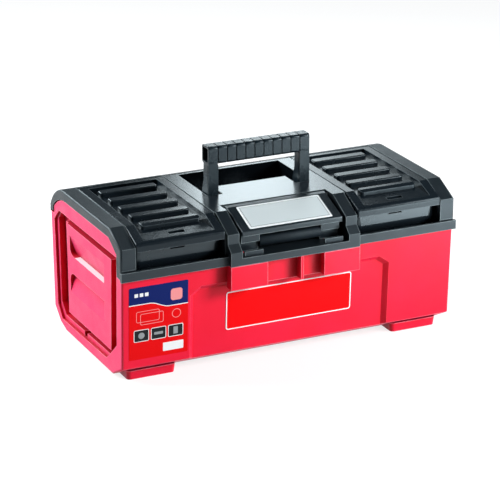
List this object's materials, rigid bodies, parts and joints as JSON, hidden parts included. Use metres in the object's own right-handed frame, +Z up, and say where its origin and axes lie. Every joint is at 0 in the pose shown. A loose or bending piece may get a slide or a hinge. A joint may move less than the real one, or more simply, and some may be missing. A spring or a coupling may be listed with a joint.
{
  "type": "toolbox with lift-out tray",
  "caption": "Moulded toolbox with hinged lid, fold-down carry handle, sprung front latch, flip-up organiser covers and a lift-out tray.",
  "frame": {"origin": "on the floor under the middle of the box", "axes": "+X to the box's right seen from the front, -Y out of the latch side, +Z up"},
  "size_m": [0.39, 0.2146, 0.2178],
  "materials": {
    "red_plastic": "satin moulded polypropylene, fine grain",
    "black_plastic": "satin moulded polypropylene, fine grain",
    "handle_plastic": "satin moulded",
    "tray_plastic": "satin moulded",
    "pin_plastic": "plain moulded",
    "silver_plate": "satin, with a bevelled bright edge",
    "steel": "drawn wire",
    "front_label": "blank printed film with a pale outline",
    "corner_sticker": null
  },
  "bodies": {
    "base": {"base": "red_plastic", "hinge_pin_left": "steel", "hinge_pin_right": "steel", "front_label": "front_label", "corner_sticker": "corner_sticker"},
    "lid": {"lid": "black_plastic", "organiser_left": "black_plastic", "organiser_right": "black_plastic", "latch_pin": "steel", "latch_spring": "steel", "handle_pin_left": "pin_plastic", "handle_pin_right": "pin_plastic"},
    "handle": {"handle": "handle_plastic"},
    "latch": {"latch": "black_plastic", "latch_plate": "silver_plate", "latch_bar": "black_plastic"},
    "cover_left": {"cover_left": "black_plastic"},
    "cover_right": {"cover_right": "black_plastic"},
    "tray": {"tray": "tray_plastic", "tray_handle": "tray_plastic"}
  },
  "joints": [
    {"name": "lid_hinge", "type": "hinge", "parent": "base", "child": "lid", "pos_m": [0, 0.1025, 0.1365], "axis": [-1, 0, 0], "range_deg": [0, 100]},
    {"name": "handle_fold", "type": "hinge", "parent": "lid", "child": "handle", "pos_m": [0, -0.01, 0.156], "axis": [-1, 0, 0], "range_deg": [0, 90]},
    {"name": "latch_lift", "type": "hinge", "parent": "lid", "child": "latch", "pos_m": [0, -0.0545, 0.1603], "axis": [-1, 0, 0], "range_deg": [0, 25], "stiffness_Nm_per_rad": 0.06, "springref_deg": -11.46},
    {"name": "cover_left_hinge", "type": "hinge", "parent": "lid", "child": "cover_left", "pos_m": [-0.12685, 0.0635, 0.16], "axis": [-1, 0, 0], "range_deg": [0, 94]},
    {"name": "cover_right_hinge", "type": "hinge", "parent": "lid", "child": "cover_right", "pos_m": [0.12685, 0.0635, 0.16], "axis": [-1, 0, 0], "range_deg": [0, 94]},
    {"name": "tray_lift", "type": "slide", "parent": "base", "child": "tray", "axis": [0, 0, 1], "range_m": [0, 0.015]}
  ]
}
